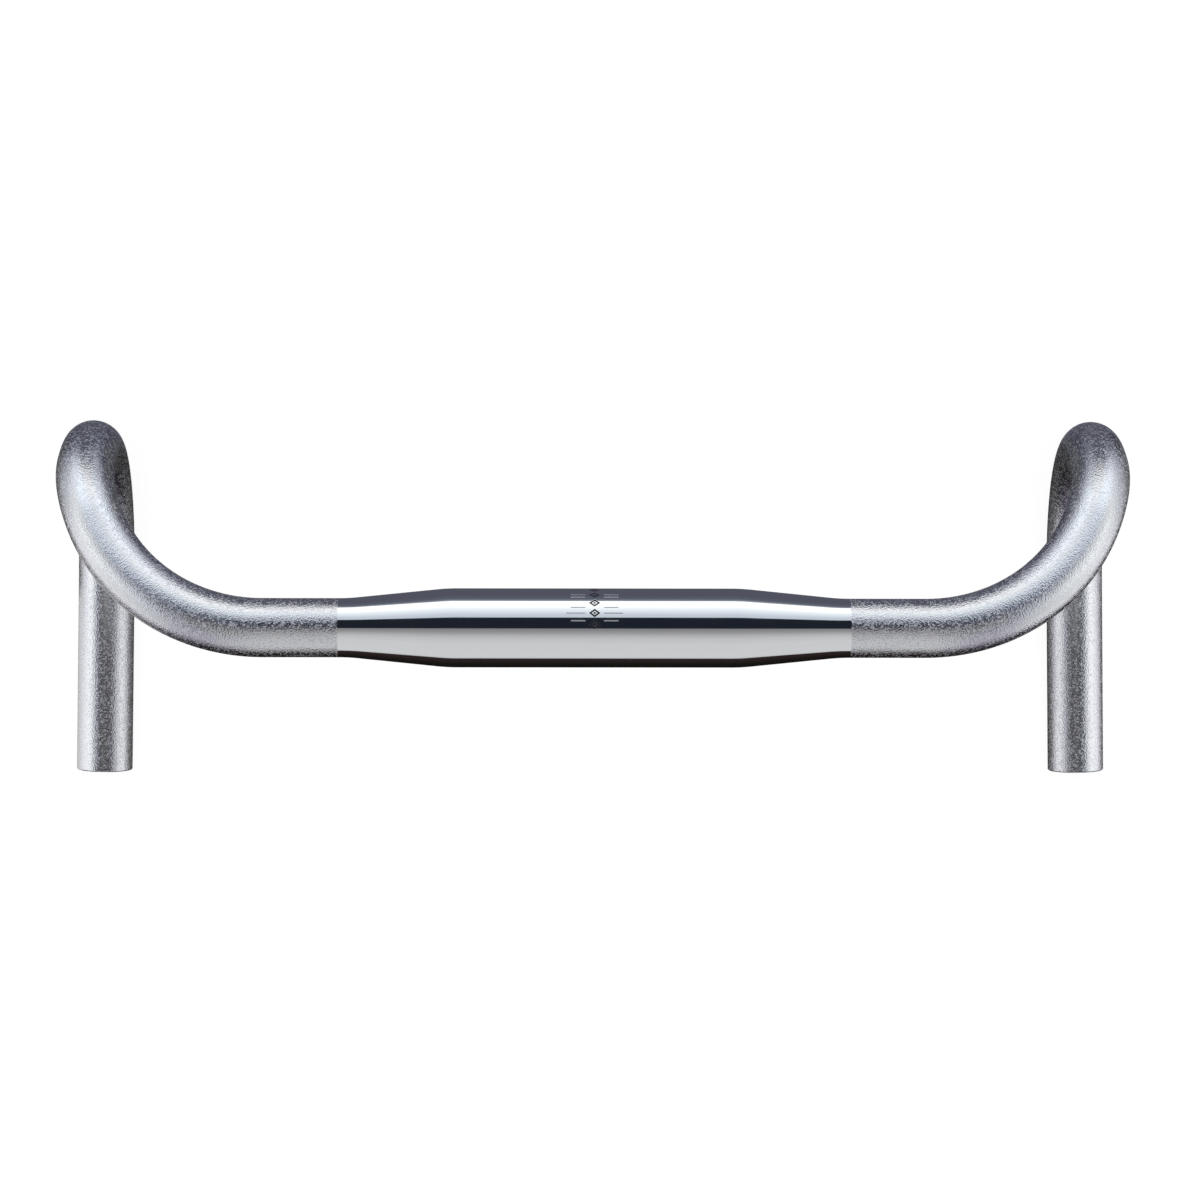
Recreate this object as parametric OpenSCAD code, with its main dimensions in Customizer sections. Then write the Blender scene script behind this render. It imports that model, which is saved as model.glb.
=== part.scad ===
// Drop handlebar: one bent and butted aluminium tube, in its named stretches.
// Origin at the centre of the clamp section, on the tube's axis.
// +X to the rider's right, +Y forward, +Z up, with both drops level.

/* [Bar] */
// Distance between the centres of the two open ends
bar_width = 418; // [400:2:440]
// Height of the clamp section's axis above the axes of the drops
bar_drop = 128; // [120:1:136]
// Length of the straight tube at the end of each drop
drop_straight = 83; // [60:1:100]
// Angle at which each drop points outward
drop_flare = 1; // [0:0.5:3]

/* [Clamp section and tapers] */
// Outside diameter where the stem grips
clamp_d = 31.8; // [31:0.1:32]
// Length of the full-diameter cylinder
clamp_w = 110; // [80:1:112]
// Slope of each taper against the bar's axis
taper_slope = 5.75; // [5.5:0.25:8]
// Radius that rounds both ends of each taper
taper_round = 80; // [40:5:100]

/* [Tube] */
// Outside diameter of the arms
grip_d = 23.8; // [23:0.1:24.2]
// Thickness of the wall at the clamp section
clamp_wall = 2.4; // [2:0.1:3]
// Thickness of the wall in the arms
arm_wall = 1.7; // [1.4:0.1:2]
// Chamfer on both edges of each open end
end_chamfer = 0.4; // [0.2:0.1:0.6]

/* [Bends] */
// Radius of the shoulder bend, at the tube's axis
shoulder_r = 74; // [70:1:78]
// Angle of the shoulder bend
shoulder_angle = 68; // [64:1:72]
// Angle at which the shoulder bend dips below the level
shoulder_dip = 28.5; // [26:0.5:31]
// Radius of the ramp bend
ramp_r = 45; // [40:1:50]
// Angle of the ramp bend
ramp_angle = 42.5; // [40:0.5:45]
// Roll of the ramp bend's plane against the shoulder's
ramp_roll = 61.5; // [59:0.5:64]

/* [Hidden] */
$fn = 96;
polished = [0.80, 0.81, 0.82];
blasted = [0.62, 0.62, 0.64];

clamp_r = clamp_d / 2;
grip_r = grip_d / 2;
clamp_bore_r = clamp_r - clamp_wall;
arm_bore_r = grip_r - arm_wall;

// Each taper is an arc, a cone and an equal arc turned over.
round_fall = taper_round * (1 - cos(taper_slope));
round_run = taper_round * sin(taper_slope);
cone_fall = clamp_r - grip_r - 2 * round_fall;
cone_run = cone_fall / tan(taper_slope);
taper_w = 2 * round_run + cone_run;
round_steps = 8;
polish_half_w = clamp_w / 2 + taper_w;

// A bend starts with two unit vectors: the way that the tube runs, and the side that it bends to.
function run_after(run, side, angle) = run * cos(angle) + side * sin(angle);
function side_after(run, side, angle) = side * cos(angle) - run * sin(angle);
function rolled(run, side, roll) = side * cos(roll) + cross(run, side) * sin(roll);
function travel(run, side, radius, angle) = radius * (run * sin(angle) + side * (1 - cos(angle)));

top_run = [1, 0, 0];
shoulder_side = [0, cos(shoulder_dip), -sin(shoulder_dip)];
ramp_run = run_after(top_run, shoulder_side, shoulder_angle);
ramp_side = rolled(ramp_run, side_after(top_run, shoulder_side, shoulder_angle), -ramp_roll);
hook_run = run_after(ramp_run, ramp_side, ramp_angle);
unrolled_side = side_after(ramp_run, ramp_side, ramp_angle);

// The hook closes the bar: it turns the tube to the drop's direction and brings it down by bar_drop.
drop_run = [sin(drop_flare), -cos(drop_flare), 0];
hook_normal = cross(hook_run, drop_run) / norm(cross(hook_run, drop_run));
hook_side = cross(hook_normal, hook_run);
hook_angle = atan2(drop_run * hook_side, drop_run * hook_run);
hook_roll = atan2(hook_side * cross(hook_run, unrolled_side), hook_side * unrolled_side);
shoulder_travel = travel(top_run, shoulder_side, shoulder_r, shoulder_angle);
ramp_travel = travel(ramp_run, ramp_side, ramp_r, ramp_angle);
hook_unit = travel(hook_run, hook_side, 1, hook_angle);
hook_r = (-bar_drop - shoulder_travel.z - ramp_travel.z) / hook_unit.z;
arm_travel = shoulder_travel + ramp_travel + hook_r * hook_unit + drop_straight * drop_run;
top_half_w = bar_width / 2 - arm_travel.x;

// ---- Stretches of tube: each starts at the origin and runs along +X; a bend turns it towards +Y ----

module straight_tube(length, outer_r, bore_r) {
    rotate([0, 90, 0])
        difference() {
            cylinder(h = length, r = outer_r);
            translate([0, 0, -1])
                cylinder(h = length + 2, r = bore_r);
        }
}

module bent_tube(radius, angle) {
    translate([0, radius, 0])
        rotate_extrude(angle = angle, start = -90)
            translate([radius, 0])
                difference() {
                    circle(r = grip_r);
                    circle(r = arm_bore_r);
                }
}

function taper_arc(x, r, from_angle, turn) = [
    for (i = [0 : round_steps])
        let (a = from_angle + turn * taper_slope * i / round_steps)
            [r + taper_round * cos(a), x + taper_round * sin(a)]
];

// The outline of the taper's outside, as [radius, distance along the axis]
taper_outline = concat(
    taper_arc(0, clamp_r - taper_round, 0, 1),
    taper_arc(taper_w, grip_r + taper_round, 180 + taper_slope, -1)
);

function taper_wall(x) = clamp_wall + (arm_wall - clamp_wall) * x / taper_w;

taper_bore_outline = [
    for (i = [len(taper_outline) - 1 : -1 : 0])
        taper_outline[i] - [taper_wall(taper_outline[i][1]), 0]
];

module tapered_tube() {
    rotate([90, 0, 90])
        rotate_extrude()
            polygon(concat(taper_outline, taper_bore_outline));
}

module open_ended_tube(length) {
    rotate([90, 0, 90])
        rotate_extrude()
            polygon([
                [arm_bore_r, 0],
                [grip_r, 0],
                [grip_r, length - end_chamfer],
                [grip_r - end_chamfer, length],
                [arm_bore_r + end_chamfer, length],
                [arm_bore_r, length - end_chamfer]
            ]);
}

// ---- Places: each puts its children where that stretch of the right arm starts ----

module past_bend(radius, angle) {
    translate([0, radius, 0])
        rotate([0, 0, angle])
            translate([0, -radius, 0])
                children();
}

module at_shoulder() {
    translate([top_half_w, 0, 0])
        rotate([-shoulder_dip, 0, 0])
            children();
}

module at_ramp() {
    at_shoulder()
        past_bend(shoulder_r, shoulder_angle)
            rotate([-ramp_roll, 0, 0])
                children();
}

module at_hook() {
    at_ramp()
        past_bend(ramp_r, ramp_angle)
            rotate([hook_roll, 0, 0])
                children();
}

module arm_side(side) {
    if (side == "left") {
        mirror([1, 0, 0])
            children();
    } else {
        children();
    }
}

// ---- Sub-parts ----

module clamp_section() {
    color(polished)
        translate([-clamp_w / 2, 0, 0])
            straight_tube(clamp_w, clamp_r, clamp_bore_r);
}

module taper(side) {
    color(polished)
        arm_side(side)
            translate([clamp_w / 2, 0, 0])
                tapered_tube();
}

module top(side) {
    color(blasted)
        arm_side(side)
            translate([polish_half_w, 0, 0])
                straight_tube(top_half_w - polish_half_w, grip_r, arm_bore_r);
}

module shoulder(side) {
    color(blasted)
        arm_side(side)
            at_shoulder()
                bent_tube(shoulder_r, shoulder_angle);
}

module ramp(side) {
    color(blasted)
        arm_side(side)
            at_ramp()
                bent_tube(ramp_r, ramp_angle);
}

module hook_upper(side) {
    color(blasted)
        arm_side(side)
            at_hook()
                bent_tube(hook_r, hook_angle / 2);
}

module hook_lower(side) {
    color(blasted)
        arm_side(side)
            at_hook()
                past_bend(hook_r, hook_angle / 2)
                    bent_tube(hook_r, hook_angle / 2);
}

module drop(side) {
    color(blasted)
        arm_side(side)
            at_hook()
                past_bend(hook_r, hook_angle)
                    open_ended_tube(drop_straight);
}

clamp_section();
taper("left");  // left_taper
taper("right");  // right_taper
top("left");  // left_top
top("right");  // right_top
shoulder("left");  // left_shoulder
shoulder("right");  // right_shoulder
ramp("left");  // left_ramp
ramp("right");  // right_ramp
hook_upper("left");  // left_hook_upper
hook_upper("right");  // right_hook_upper
hook_lower("left");  // left_hook_lower
hook_lower("right");  // right_hook_lower
drop("left");  // left_drop
drop("right");  // right_drop
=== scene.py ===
import math

import bpy
from mathutils import Matrix, Vector


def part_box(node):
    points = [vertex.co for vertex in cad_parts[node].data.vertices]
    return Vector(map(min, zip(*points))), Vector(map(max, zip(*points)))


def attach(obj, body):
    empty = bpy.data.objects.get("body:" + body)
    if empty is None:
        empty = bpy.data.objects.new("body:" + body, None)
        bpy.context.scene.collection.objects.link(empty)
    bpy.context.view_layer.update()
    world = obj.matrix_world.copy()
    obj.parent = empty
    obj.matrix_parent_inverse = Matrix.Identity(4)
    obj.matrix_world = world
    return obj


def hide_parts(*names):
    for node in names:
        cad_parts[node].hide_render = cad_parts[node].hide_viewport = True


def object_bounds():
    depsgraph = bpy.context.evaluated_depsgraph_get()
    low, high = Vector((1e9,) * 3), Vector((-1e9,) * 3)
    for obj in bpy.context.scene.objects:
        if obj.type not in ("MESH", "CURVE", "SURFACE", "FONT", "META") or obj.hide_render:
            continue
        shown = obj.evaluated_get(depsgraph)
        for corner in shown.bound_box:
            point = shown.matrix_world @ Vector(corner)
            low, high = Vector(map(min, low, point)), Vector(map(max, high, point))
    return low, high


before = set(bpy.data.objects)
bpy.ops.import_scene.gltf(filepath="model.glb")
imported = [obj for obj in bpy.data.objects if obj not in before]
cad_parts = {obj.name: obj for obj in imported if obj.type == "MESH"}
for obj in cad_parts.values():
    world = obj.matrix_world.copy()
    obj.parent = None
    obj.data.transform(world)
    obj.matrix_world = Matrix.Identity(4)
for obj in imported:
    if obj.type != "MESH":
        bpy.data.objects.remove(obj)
cad_low, cad_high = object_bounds()

# ---- Sizes read off the CAD nodes, in metres ----

CLAMP_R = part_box("clamp_section")[1].z
CLAMP_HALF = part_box("clamp_section")[1].x
POLISH_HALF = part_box("right_taper")[1].x
TOP_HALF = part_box("right_top")[1].x
GRIP_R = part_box("right_top")[1].z
DROP_LEVEL = (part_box("right_drop")[0].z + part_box("right_drop")[1].z) / 2
FLOOR_LEVEL = cad_low.z

# ---- The CAD's own design values, repeated here because they can't be read off a box ----

CLAMP_WALL = 0.0024
ARM_WALL = 0.0017
END_CHAMFER = 0.0004
TAPER_SLOPE = math.radians(5.75)
TAPER_ROUND = 0.080
SHOULDER_R = 0.074
SHOULDER_ANGLE = math.radians(68)
SHOULDER_DIP = math.radians(28.5)
RAMP_R = 0.045
RAMP_ANGLE = math.radians(42.5)
RAMP_ROLL = math.radians(61.5)
DROP_STRAIGHT = 0.083
DROP_FLARE = math.radians(1)

BORE_R = GRIP_R - ARM_WALL
AROUND = 128  # corners of a ring
BEND_STEP = math.radians(1.5)
TAPER_STEP = 0.001
STRAIGHT_STEP = 0.004

# ---- Surface detail, in metres and degrees ----

DIMPLE = 0.0006  # size of the dimples that blasting left
DIMPLE_DEPTH = 0.00009
ETCH_EDGE = 0.00005  # half the width over which the edge of a mark fades
MARK_WIDTH = 0.00045
MARK_START = 0.0037
MARK_LINES = [(16, 0.0095), (27, 0.0114), (36.5, 0.0095), (56, 0.0095), (62, 0.0095)]  # (angle, reach)
DIAMONDS = 5
DIAMONDS_FROM_TO = (2, 87)
DIAMOND_HALF_W = 0.0024

# ---- The right arm's route ----
# A station is a matrix whose X runs along the tube, and whose Y points to the inside of the bend.


def past_bend(radius, angle):
    """From the start of a bend to the place that far round it."""
    to_centre = Matrix.Translation((0, radius, 0))
    return to_centre @ Matrix.Rotation(angle, 4, "Z") @ to_centre.inverted()


def rolled(angle):
    return Matrix.Rotation(angle, 4, "X")


def straight_stations(place, distances):
    return [place @ Matrix.Translation((d, 0, 0)) for d in distances]


def bend_stations(place, radius, angle):
    steps = math.ceil(angle / BEND_STEP)
    return [place @ past_bend(radius, angle * i / steps) for i in range(steps + 1)]


def even(length, step):
    steps = math.ceil(length / step)
    return [length * i / steps for i in range(steps + 1)]


at_taper = Matrix.Translation((CLAMP_HALF, 0, 0))
at_top = Matrix.Translation((POLISH_HALF, 0, 0))
at_shoulder = Matrix.Translation((TOP_HALF, 0, 0)) @ rolled(-SHOULDER_DIP)
at_ramp = at_shoulder @ past_bend(SHOULDER_R, SHOULDER_ANGLE) @ rolled(-RAMP_ROLL)
ramp_end = at_ramp @ past_bend(RAMP_R, RAMP_ANGLE)

# The hook closes the bar: it turns the tube to the drop's direction and brings it down to the drop's level.
drop_run = Vector((math.sin(DROP_FLARE), -math.cos(DROP_FLARE), 0))
hook_run = ramp_end.col[0].xyz
ramp_side = ramp_end.col[1].xyz
hook_side = hook_run.cross(drop_run).normalized().cross(hook_run)
HOOK_ANGLE = hook_run.angle(drop_run)
HOOK_ROLL = math.atan2(hook_side.dot(hook_run.cross(ramp_side)), hook_side.dot(ramp_side))
hook_unit = hook_run * math.sin(HOOK_ANGLE) + hook_side * (1 - math.cos(HOOK_ANGLE))
HOOK_R = (DROP_LEVEL - ramp_end.translation.z) / hook_unit.z
at_hook = ramp_end @ rolled(HOOK_ROLL)
hook_middle = at_hook @ past_bend(HOOK_R, HOOK_ANGLE / 2)
at_drop = at_hook @ past_bend(HOOK_R, HOOK_ANGLE)

# ---- The taper's outline ----

ROUND_FALL = TAPER_ROUND * (1 - math.cos(TAPER_SLOPE))
ROUND_RUN = TAPER_ROUND * math.sin(TAPER_SLOPE)
TAPER_W = POLISH_HALF - CLAMP_HALF


def taper_outline(distance):
    """The taper's outer radius that far from the clamp section, and the angle at which it falls there."""
    if distance < ROUND_RUN:
        slope = math.asin(distance / TAPER_ROUND)
        return CLAMP_R - TAPER_ROUND * (1 - math.cos(slope)), slope
    if distance > TAPER_W - ROUND_RUN:
        slope = math.asin(max(0, TAPER_W - distance) / TAPER_ROUND)
        return GRIP_R + TAPER_ROUND * (1 - math.cos(slope)), slope
    return CLAMP_R - ROUND_FALL - (distance - ROUND_RUN) * math.tan(TAPER_SLOPE), TAPER_SLOPE


def taper_wall(distance):
    return CLAMP_WALL + (ARM_WALL - CLAMP_WALL) * distance / TAPER_W


# ---- Node helpers ----

def feed(tree, socket, value):
    """Sets a socket to a number or colour, or links it to another socket."""
    if isinstance(value, bpy.types.NodeSocket):
        tree.links.new(value, socket)
    elif value is not None:
        socket.default_value = value


def add(tree, kind, inputs=None, **settings):
    node = tree.nodes.new(kind)
    for name, value in settings.items():
        setattr(node, name, value)
    for key, value in (inputs or {}).items():
        feed(tree, node.inputs[key], value)
    return node


def calc(tree, operation, a, b=None, c=None):
    return add(tree, "ShaderNodeMath", {0: a, 1: b, 2: c}, operation=operation).outputs[0]


def remap(tree, value, from_low, from_high, to_low, to_high, smooth=False):
    node = add(
        tree, "ShaderNodeMapRange",
        {"Value": value, "From Min": from_low, "From Max": from_high, "To Min": to_low, "To Max": to_high},
        interpolation_type="SMOOTHSTEP" if smooth else "LINEAR",
    )
    return node.outputs["Result"]


def mix(tree, factor, a, b):
    node = add(tree, "ShaderNodeMix", {"Factor": factor}, data_type="RGBA")
    feed(tree, node.inputs[6], a)
    feed(tree, node.inputs[7], b)
    return node.outputs[2]


def colours(tree, factor, stops):
    """A colour ramp through (position, (r, g, b)) stops."""
    node = add(tree, "ShaderNodeValToRGB", {"Fac": factor})
    ramp = node.color_ramp
    while len(ramp.elements) < len(stops):
        ramp.elements.new(1.0)
    for element, (position, colour) in zip(ramp.elements, stops):
        element.position = position
        element.color = (*colour, 1)
    return node.outputs["Color"]


def noise(tree, vector, size, detail=0.0, stretch=(1, 1, 1)):
    """Noise whose features are about that size across, in metres, times stretch."""
    scaled = add(
        tree, "ShaderNodeMapping",
        {"Vector": vector, "Scale": [1 / (size * s) for s in stretch]},
    ).outputs[0]
    return add(tree, "ShaderNodeTexNoise", {"Vector": scaled, "Scale": 1.0, "Detail": detail}).outputs["Fac"]


def metal(name):
    """A new metal, as (material, tree, shader, place, wall).

    Place is the object's own coordinates. Wall runs along the tube in metres, and round it from 0 to 1.
    """
    material = bpy.data.materials.new(name)
    material.use_nodes = True
    tree = material.node_tree
    shader = tree.nodes["Principled BSDF"]
    shader.inputs["Metallic"].default_value = 1
    places = tree.nodes.new("ShaderNodeTexCoord")
    return material, tree, shader, places.outputs["Object"], places.outputs["UV"]


def bump(tree, shader, height, depth):
    node = add(tree, "ShaderNodeBump", {"Height": height, "Distance": depth, "Strength": 1.0})
    tree.links.new(node.outputs["Normal"], shader.inputs["Normal"])


# ---- Materials ----

def make_blasted():
    """Bead-blasted aluminium: overlapping dimples, some of them rough and pale inside, the rest smoother."""
    material, tree, shader, place, _ = metal("blasted_finish")
    scaled = add(tree, "ShaderNodeMapping", {"Vector": place, "Scale": [1 / DIMPLE] * 3}).outputs[0]
    dimples = add(tree, "ShaderNodeTexVoronoi", {"Vector": scaled, "Scale": 1.0})
    chance = add(tree, "ShaderNodeSeparateColor", {"Color": dimples.outputs["Color"]}).outputs[0]
    rough = remap(tree, chance, 0.6, 0.8, 0, 1)
    feed(tree, shader.inputs["Base Color"], mix(tree, rough, (0.80, 0.80, 0.82, 1), (0.90, 0.90, 0.92, 1)))
    feed(tree, shader.inputs["Roughness"], remap(tree, rough, 0, 1, 0.2, 0.5))
    bump(tree, shader, dimples.outputs["Distance"], DIMPLE_DEPTH)
    return material


def inside(tree, value, low, high, edge):
    """1 where value lies from low to high, and 0 elsewhere, with edges that soft."""
    rise = remap(tree, value, low - edge, low + edge, 0, 1)
    fall = remap(tree, value, high - edge, high + edge, 1, 0)
    return calc(tree, "MULTIPLY", rise, fall)


def etched_lines(tree, aside, forward):
    """Short lines on both sides of the centre, each at its own angle forward of the top."""
    total = None
    for degrees, reach in MARK_LINES:
        middle = math.radians(degrees) * CLAMP_R
        across = inside(tree, forward, middle - MARK_WIDTH / 2, middle + MARK_WIDTH / 2, ETCH_EDGE)
        line = calc(tree, "MULTIPLY", across, inside(tree, aside, MARK_START, reach, ETCH_EDGE))
        total = line if total is None else calc(tree, "MAXIMUM", total, line)
    return total


def etched_diamonds(tree, aside, forward):
    """A column of outlined diamonds round the front of the tube, each with a dot in it."""
    first, last = (math.radians(d) * CLAMP_R for d in DIAMONDS_FROM_TO)
    pitch = (last - first) / DIAMONDS
    from_first = calc(tree, "SUBTRACT", forward, first)
    from_middle = calc(tree, "SUBTRACT", calc(tree, "MODULO", from_first, pitch), pitch / 2)
    along = calc(tree, "DIVIDE", calc(tree, "ABSOLUTE", from_middle), pitch / 2 - MARK_WIDTH)
    size = calc(tree, "ADD", along, calc(tree, "DIVIDE", aside, DIAMOND_HALF_W))
    outline = inside(tree, size, 0.52, 0.95, 0.04)
    dot = remap(tree, size, 0.24, 0.30, 1, 0)
    shape = calc(tree, "MAXIMUM", outline, dot)
    return calc(tree, "MULTIPLY", shape, inside(tree, forward, first, last, ETCH_EDGE))


def make_polished():
    """Mirror-polished aluminium with fine lines round the tube, and marks etched at its centre."""
    material, tree, shader, place, wall = metal("polished_finish")
    haze = noise(tree, place, 0.02, 2.0)
    run, turn, _ = add(tree, "ShaderNodeSeparateXYZ", {0: wall}).outputs
    aside = calc(tree, "ABSOLUTE", run)
    forward = calc(tree, "MULTIPLY", turn, math.tau * CLAMP_R)
    lines = etched_lines(tree, aside, forward)
    diamonds = etched_diamonds(tree, aside, forward)
    etched = calc(tree, "MAXIMUM", lines, diamonds)
    bright = mix(tree, haze, (0.895, 0.900, 0.910, 1), (0.925, 0.930, 0.935, 1))
    scaled = mix(tree, lines, bright, (0.62, 0.62, 0.64, 1))
    feed(tree, shader.inputs["Base Color"], mix(tree, diamonds, scaled, (0.03, 0.03, 0.035, 1)))
    gloss = remap(tree, haze, 0.3, 0.7, 0.04, 0.08)
    feed(tree, shader.inputs["Roughness"], calc(tree, "MAXIMUM", gloss, calc(tree, "MULTIPLY", etched, 0.75)))
    polishing = noise(tree, wall, 0.0004, 1.0, (1, 400, 1))
    height = calc(tree, "SUBTRACT", calc(tree, "MULTIPLY", polishing, 0.1), etched)
    bump(tree, shader, height, 0.000015)
    return material


def make_bore():
    """The bore as drawn, duller and with lines along the tube."""
    material, tree, shader, _, wall = metal("drawn_finish")
    lines = noise(tree, wall, 0.005, 3.0, (8, 1, 1))
    feed(tree, shader.inputs["Base Color"], mix(tree, lines, (0.50, 0.50, 0.51, 1), (0.70, 0.70, 0.71, 1)))
    feed(tree, shader.inputs["Roughness"], remap(tree, lines, 0.3, 0.7, 0.35, 0.55))
    bump(tree, shader, lines, 0.00004)
    return material


def make_faced():
    """The turned face and chamfers of an open end, with fine rings."""
    material, tree, shader, _, wall = metal("faced_finish")
    rings = noise(tree, wall, 0.00012, 1.0, (1, 10000, 1))
    feed(tree, shader.inputs["Base Color"], mix(tree, rings, (0.78, 0.78, 0.79, 1), (0.92, 0.92, 0.93, 1)))
    feed(tree, shader.inputs["Roughness"], remap(tree, rings, 0.3, 0.7, 0.20, 0.32))
    bump(tree, shader, rings, 0.00001)
    return material


BLASTED = make_blasted()
POLISHED = make_polished()
BORE = make_bore()
FACED = make_faced()

# ---- Pieces: each is a closed length of tube ----

OUTSIDE, INSIDE, END = range(3)


def wall_strips(outer, bore, open_end):
    """The tube's wall as strips between rings. A ring is (station, radius), and each strip is
    (ring, ring, shading normal at the first, at the second, surface), a normal being (along, outward)."""
    last = len(outer) - 1
    body_last = last - 1 if open_end else last
    strips = []
    for i in range(body_last):
        (r0, slope0), (r1, slope1) = outer[i], outer[i + 1]
        normal0 = (math.sin(slope0), math.cos(slope0))
        normal1 = (math.sin(slope1), math.cos(slope1))
        strips.append(((i, r0), (i + 1, r1), normal0, normal1, OUTSIDE))
    outer_r, bore_r = outer[body_last][0], bore[body_last][0]
    if open_end:
        rings = [
            (body_last, outer_r), (last, outer_r - END_CHAMFER),
            (last, bore_r + END_CHAMFER), (body_last, bore_r),
        ]
        half = math.sqrt(0.5)
        for ring0, ring1, normal in zip(rings, rings[1:], [(half, half), (1, 0), (half, -half)]):
            strips.append((ring0, ring1, normal, normal, END))
    else:
        strips.append(((last, outer_r), (last, bore_r), (1, 0), (1, 0), END))
    for i in range(body_last, 0, -1):
        (r0, slope0), (r1, slope1) = bore[i], bore[i - 1]
        normal0 = (-math.sin(slope0), -math.cos(slope0))
        normal1 = (-math.sin(slope1), -math.cos(slope1))
        strips.append(((i, r0), (i - 1, r1), normal0, normal1, INSIDE))
    strips.append(((0, bore[0][0]), (0, outer[0][0]), (-1, 0), (-1, 0), END))
    return strips


def ring_axes(station, phase, j):
    """The unit vector from the station's axis to corner j of its ring."""
    turn = math.tau * j / AROUND + phase
    return station.col[1].xyz * math.sin(turn) + station.col[2].xyz * math.cos(turn)


def tube(node, finish, material_slot, stations, phase, along, outer, bore, open_end=False, mirrored=False):
    """One piece. Phase turns its rings, along is its start's distance from the bar's middle, and outer and
    bore give each station's (radius, slope)."""
    flip = Vector((-1, 1, 1)) if mirrored else Vector((1, 1, 1))
    strips = wall_strips(outer, bore, open_end)
    spokes = [[ring_axes(s, phase, j) * flip for j in range(AROUND)] for s in stations]
    centres = [s.translation * flip for s in stations]
    runs = [s.col[0].xyz * flip for s in stations]
    starts, points = {}, []
    for ring in [r for strip in strips for r in strip[:2]]:
        if ring not in starts:
            starts[ring] = len(points)
            points += [centres[ring[0]] + spoke * ring[1] for spoke in spokes[ring[0]]]
    faces, normals, coordinates, surfaces = [], [], [], []
    run = along
    for ring0, ring1, normal0, normal1, surface in strips:
        width = (points[starts[ring1]] - points[starts[ring0]]).length
        for j in range(AROUND):
            k = (j + 1) % AROUND
            corners = [
                (ring0, normal0, j, j, run), (ring1, normal1, j, j, run + width),
                (ring1, normal1, k, j + 1, run + width), (ring0, normal0, k, j + 1, run),
            ]
            if mirrored:
                corners.reverse()
            faces.append([starts[ring] + corner for ring, _, corner, _, _ in corners])
            for ring, (axial, outward), corner, turn, u in corners:
                normals.append(runs[ring[0]] * axial + spokes[ring[0]][corner] * outward)
                coordinates += [u, turn / AROUND]
            surfaces.append(surface)
        run += width
    mesh = bpy.data.meshes.new(node + "_tube")
    mesh.from_pydata(points, [], faces)
    mesh.uv_layers.new(name="wall").data.foreach_set("uv", coordinates)
    for material in (finish, BORE, FACED):
        mesh.materials.append(material)
    mesh.polygons.foreach_set("material_index", surfaces)
    mesh.shade_smooth()
    mesh.normals_split_custom_set(normals)
    mesh.validate()
    piece = bpy.data.objects.new(node + "_tube", mesh)
    bpy.context.scene.collection.objects.link(piece)
    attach(piece, "root")
    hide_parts(node)


def arm(name, finish, material_slot, stations, phase, along, outer, bore, open_end=False):
    """The same stretch in both arms."""
    shape = (stations, phase, along, outer, bore, open_end)
    for side in ("right", "left"):
        tube(f"{side}_{name}", finish, material_slot, *shape, mirrored=side == "left")


def plain(radius, stations):
    return [(radius, 0)] * len(stations)


at_clamp = Matrix.Translation((-CLAMP_HALF, 0, 0))
clamp_stations = straight_stations(at_clamp, even(2 * CLAMP_HALF, STRAIGHT_STEP))
tube(
    "clamp_section", POLISHED, "polished_aluminium", clamp_stations, 0, -CLAMP_HALF,
    plain(CLAMP_R, clamp_stations), plain(CLAMP_R - CLAMP_WALL, clamp_stations),
)

taper_distances = even(TAPER_W, TAPER_STEP)
taper_outer = [taper_outline(d) for d in taper_distances]
taper_bore = [(r - taper_wall(d), slope) for d, (r, slope) in zip(taper_distances, taper_outer)]
arm(
    "taper", POLISHED, "polished_aluminium", straight_stations(at_taper, taper_distances), 0, CLAMP_HALF,
    taper_outer, taper_bore,
)

top_w = TOP_HALF - POLISH_HALF
shoulder_w = SHOULDER_R * SHOULDER_ANGLE
half_hook = HOOK_ANGLE / 2
drop_distances = even(DROP_STRAIGHT - END_CHAMFER, STRAIGHT_STEP) + [DROP_STRAIGHT]
phase, along = 0, POLISH_HALF
for name, stations, roll, length in [
    ("top", straight_stations(at_top, even(top_w, STRAIGHT_STEP)), 0, top_w),
    ("shoulder", bend_stations(at_shoulder, SHOULDER_R, SHOULDER_ANGLE), -SHOULDER_DIP, shoulder_w),
    ("ramp", bend_stations(at_ramp, RAMP_R, RAMP_ANGLE), -RAMP_ROLL, RAMP_R * RAMP_ANGLE),
    ("hook_upper", bend_stations(at_hook, HOOK_R, half_hook), HOOK_ROLL, HOOK_R * half_hook),
    ("hook_lower", bend_stations(hook_middle, HOOK_R, half_hook), 0, HOOK_R * half_hook),
    ("drop", straight_stations(at_drop, drop_distances), 0, DROP_STRAIGHT),
]:
    phase += roll
    outer = plain(GRIP_R, stations)
    bore = plain(BORE_R, stations)
    arm(name, BLASTED, "blasted_aluminium", stations, phase, along, outer, bore, open_end=name == "drop")
    along += length

# ---- Floor ----

FLOOR_SIZE = 12
FLOOR_GLOW = 0.88

bpy.ops.mesh.primitive_plane_add(size=FLOOR_SIZE, location=(0, 0, FLOOR_LEVEL))
floor = bpy.context.object
floor.name = "studio_floor"
floor.visible_glossy = False
floor_material = bpy.data.materials.new("studio_floor")
floor_material.use_nodes = True
floor_shader = floor_material.node_tree.nodes["Principled BSDF"]
floor_shader.inputs["Base Color"].default_value = (0.15, 0.15, 0.15, 1)
floor_shader.inputs["Roughness"].default_value = 0.9
floor_shader.inputs["Emission Color"].default_value = (1, 1, 1, 1)
floor_shader.inputs["Emission Strength"].default_value = FLOOR_GLOW
floor.data.materials.append(floor_material)

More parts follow.
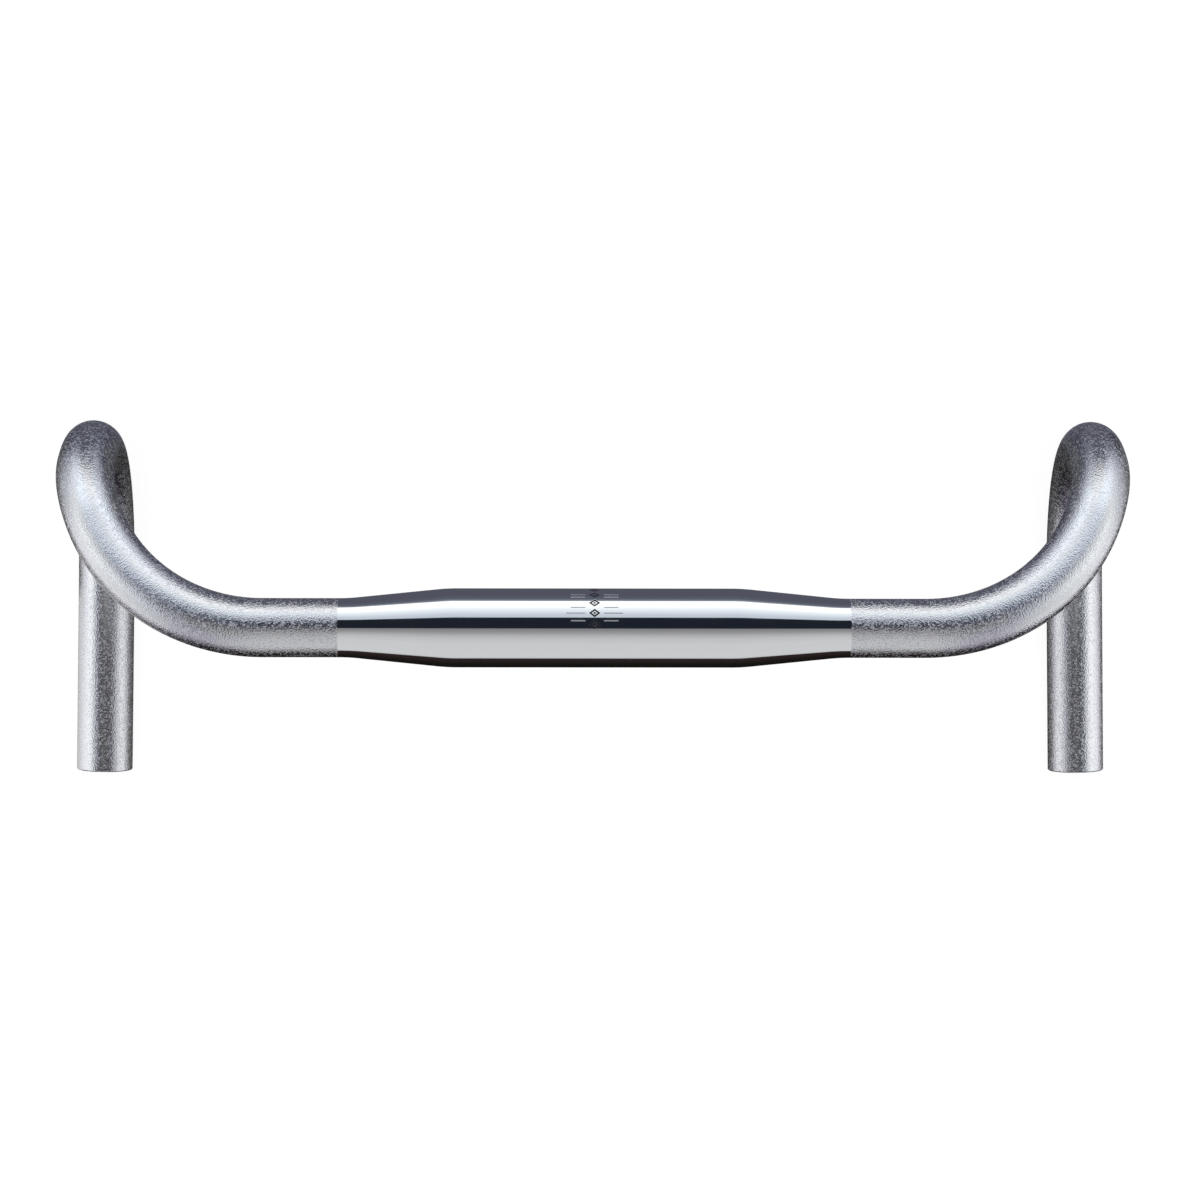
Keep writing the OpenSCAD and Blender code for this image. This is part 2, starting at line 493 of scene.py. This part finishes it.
# ---- Studio: the light that the metal mirrors, which changes with its direction ----
# A stop's angle is 0 straight above, 90 level in front, -90 level behind and 180 straight below. There is one
# set of stops for light from ahead and behind, one for light from the sides, and one for what lies between.
# They blend by how far aside the light comes from: 0 is in the bar's middle plane and 1 is straight aside.

BETWEEN_BLEND = (0.28, 0.37)
SIDES_BLEND = (0.45, 0.75)

world = bpy.data.worlds.new("studio")
bpy.context.scene.world = world
world.use_nodes = True
sky = world.node_tree
sky.nodes.clear()
direction = add(sky, "ShaderNodeTexCoord").outputs["Generated"]
parts = add(sky, "ShaderNodeSeparateXYZ", {0: direction})
dx, dy, dz = parts.outputs


def at_angle(stops):
    return [((degrees + 180) / 360, colour) for degrees, colour in stops]


MIRRORED = 0.9  # share of the light that the metal gives back


def panel(*colour):
    """The light that looks that colour once the metal has mirrored it."""
    return tuple(c / MIRRORED for c in colour)


front_back_stops = [
    (-180, panel(0.008, 0.007, 0.006)),
    (-130, panel(0.008, 0.007, 0.006)),
    (-95.5, panel(0.026, 0.018, 0.018)),
    (-95.1, panel(0.50, 0.50, 0.51)),
    (-88, panel(0.57, 0.58, 0.59)),
    (-44, panel(0.56, 0.57, 0.58)),
    (-26, panel(0.50, 0.50, 0.505)),
    (-17, panel(0.41, 0.41, 0.415)),
    (-8, panel(0.287, 0.287, 0.29)),
    (0, panel(0.22, 0.22, 0.225)),
    (3.0, panel(0.22, 0.22, 0.225)),
    (3.4, panel(0.0116, 0.0144, 0.0212)),
    (35.4, panel(0.0116, 0.0144, 0.0212)),
    (35.9, panel(0.50, 0.56, 0.62)),
    (45, panel(0.55, 0.60, 0.67)),
    (54, panel(0.70, 0.75, 0.81)),
    (64, panel(0.855, 0.92, 0.94)),
    (72, panel(1.10, 1.10, 1.10)),
    (90.2, panel(1.10, 1.10, 1.10)),
    (90.7, panel(0.24, 0.26, 0.30)),
    (100, panel(0.095, 0.105, 0.14)),
    (115, panel(0.080, 0.082, 0.110)),
    (180, panel(0.080, 0.082, 0.110)),
]
between_stops = [
    (-180, (0.05, 0.05, 0.05)),
    (-140, (0.00, 0.00, 0.00)),
    (-105, (0.15, 0.12, 0.18)),
    (-80, (0.39, 0.36, 0.44)),
    (-55, (0.29, 0.26, 0.37)),
    (-35, (0.00, 0.00, 0.00)),
    (5, (0.00, 0.00, 0.01)),
    (20, (0.12, 0.14, 0.27)),
    (38, (0.59, 0.66, 0.77)),
    (55, (1.14, 1.29, 1.43)),
    (80, (1.23, 1.35, 1.46)),
    (100, (0.87, 0.92, 1.00)),
    (125, (0.12, 0.12, 0.18)),
    (150, (0.01, 0.01, 0.03)),
    (180, (0.05, 0.05, 0.05)),
]
side_stops = [
    (-180, (0.20, 0.20, 0.20)),
    (-120, (0.00, 0.00, 0.00)),
    (-70, (0.00, 0.00, 0.00)),
    (-30, (0.56, 0.54, 0.60)),
    (10, (0.43, 0.43, 0.42)),
    (45, (0.09, 0.06, 0.04)),
    (80, (0.09, 0.07, 0.07)),
    (115, (0.15, 0.16, 0.17)),
    (180, (0.20, 0.20, 0.20)),
]
turn = remap(sky, calc(sky, "ARCTAN2", dy, dz), -math.pi, math.pi, 0, 1)
front_back = colours(sky, turn, at_angle(front_back_stops))
between = colours(sky, turn, at_angle(between_stops))
sides = colours(sky, turn, at_angle(side_stops))
aside = calc(sky, "ABSOLUTE", dx)
half_aside = mix(sky, remap(sky, aside, *BETWEEN_BLEND, 0, 1, smooth=True), front_back, between)
all_round = mix(sky, remap(sky, aside, *SIDES_BLEND, 0, 1, smooth=True), half_aside, sides)
mirrored_light = add(sky, "ShaderNodeBackground", {"Color": all_round})
backdrop = add(sky, "ShaderNodeBackground", {"Color": (1, 1, 1, 1)})
ray = add(sky, "ShaderNodeLightPath")
seen = add(
    sky, "ShaderNodeMixShader",
    {0: ray.outputs["Is Camera Ray"], 1: mirrored_light.outputs[0], 2: backdrop.outputs[0]},
)
add(sky, "ShaderNodeOutputWorld", {"Surface": seen.outputs[0]})


def reflector(name, low, high, colour, sides=("left", "right"), passes=1.0):
    """A panel right of the bar, or mirrored to its left, that only the metal sees.

    It glows in its colour, and lets through the share of the light behind it that passes says.
    """
    first, second = (axis for axis in range(3) if low[axis] != high[axis])
    for side in sides:
        mirror = -1 if side == "left" else 1
        corners = []
        for past_first, past_second in ((0, 0), (1, 0), (1, 1), (0, 1)):
            corner = list(low)
            corner[first] = (low, high)[past_first][first]
            corner[second] = (low, high)[past_second][second]
            corners.append((corner[0] * mirror, corner[1], corner[2]))
        mesh = bpy.data.meshes.new(f"{side}_{name}")
        mesh.from_pydata(corners, [], [(0, 1, 2, 3)])
        material = bpy.data.materials.new(f"{side}_{name}")
        material.use_nodes = True
        tree = material.node_tree
        tree.nodes.clear()
        glow = add(tree, "ShaderNodeEmission", {"Color": (*colour, 1), "Strength": 1.0})
        clear = add(tree, "ShaderNodeBsdfTransparent", {"Color": (passes, passes, passes, 1)})
        both = add(tree, "ShaderNodeAddShader", {0: glow.outputs[0], 1: clear.outputs[0]})
        add(tree, "ShaderNodeOutputMaterial", {"Surface": both.outputs[0]})
        mesh.materials.append(material)
        panel_object = bpy.data.objects.new(f"{side}_{name}", mesh)
        bpy.context.scene.collection.objects.link(panel_object)
        panel_object.visible_camera = False
        panel_object.visible_diffuse = False
        panel_object.visible_shadow = False


WALL = 0.8  # how far aside, ahead and behind the walls reach
EAVES = 0.4  # height of the walls above and below the bar

reflector("low_back_wall", (WALL, -WALL, -EAVES), (WALL, 0.0, 0.0), (0.76, 0.75, 0.80))
reflector("low_front_wall", (WALL, 0.0, -EAVES), (WALL, WALL, 0.0), (0.20, 0.20, 0.25))
reflector("back_wall", (WALL, -WALL, 0.0), (WALL, 0.0, EAVES), (0.45, 0.48, 0.45))
reflector("front_wall", (WALL, 0.0, 0.0), (WALL, WALL, EAVES), (0.69, 0.73, 0.73))
reflector("high_wall", (WALL, -WALL, EAVES), (WALL, WALL, WALL), (0.15, 0.18, 0.22))
reflector("near_wall", (0.45, -0.5, -0.15), (0.45, 0.5, 0.1), (0.17, 0.18, 0.18))
reflector("under_light", (0.232, -0.10, -0.16), (0.30, 0.0, -0.16), (0.50, 0.50, 0.50), sides=["left"])
reflector("drop_shade", (0.178, -0.12, -0.04), (0.238, -0.02, -0.04), (0.0, 0.0, 0.0), passes=0.45)

OVERHEAD_SIZE = 3.0
OVERHEAD_POWER = 60
OVERHEAD_HEIGHT = 2.6

overhead = bpy.data.lights.new("overhead", "AREA")
overhead.shape = "DISK"
overhead.size = OVERHEAD_SIZE
overhead.energy = OVERHEAD_POWER
overhead_object = bpy.data.objects.new("overhead", overhead)
overhead_object.location = (0, 0, OVERHEAD_HEIGHT)
overhead_object.visible_camera = False
overhead_object.visible_glossy = False
bpy.context.scene.collection.objects.link(overhead_object)

# ---- Camera: straight above, leaning a little forward ----

CAMERA_DISTANCE = 1.872
CAMERA_ASIDE = 0.0023
CAMERA_AHEAD = 0.01125
CAMERA_TURN = (
    Matrix.Rotation(math.radians(-0.07), 3, "Z")
    @ Matrix.Rotation(math.radians(0.70), 3, "Y")
    @ Matrix.Rotation(math.radians(5), 3, "X")
)
SENSOR = 0.036
PIXELS = 1200
PIXELS_PER_METRE = 2488

camera_data = bpy.data.cameras.new("camera")
camera_data.sensor_width = SENSOR * 1000
camera_data.lens = SENSOR * 1000 * PIXELS_PER_METRE * CAMERA_DISTANCE / PIXELS
camera_data.clip_end = 50
camera = bpy.data.objects.new("camera", camera_data)
to_world = CAMERA_TURN.transposed()
camera.matrix_world = to_world.to_4x4()
camera.location = to_world @ Vector((CAMERA_ASIDE, CAMERA_AHEAD, CAMERA_DISTANCE))
bpy.context.scene.collection.objects.link(camera)
bpy.context.scene.camera = camera
bpy.context.scene.view_settings.view_transform = "Standard"
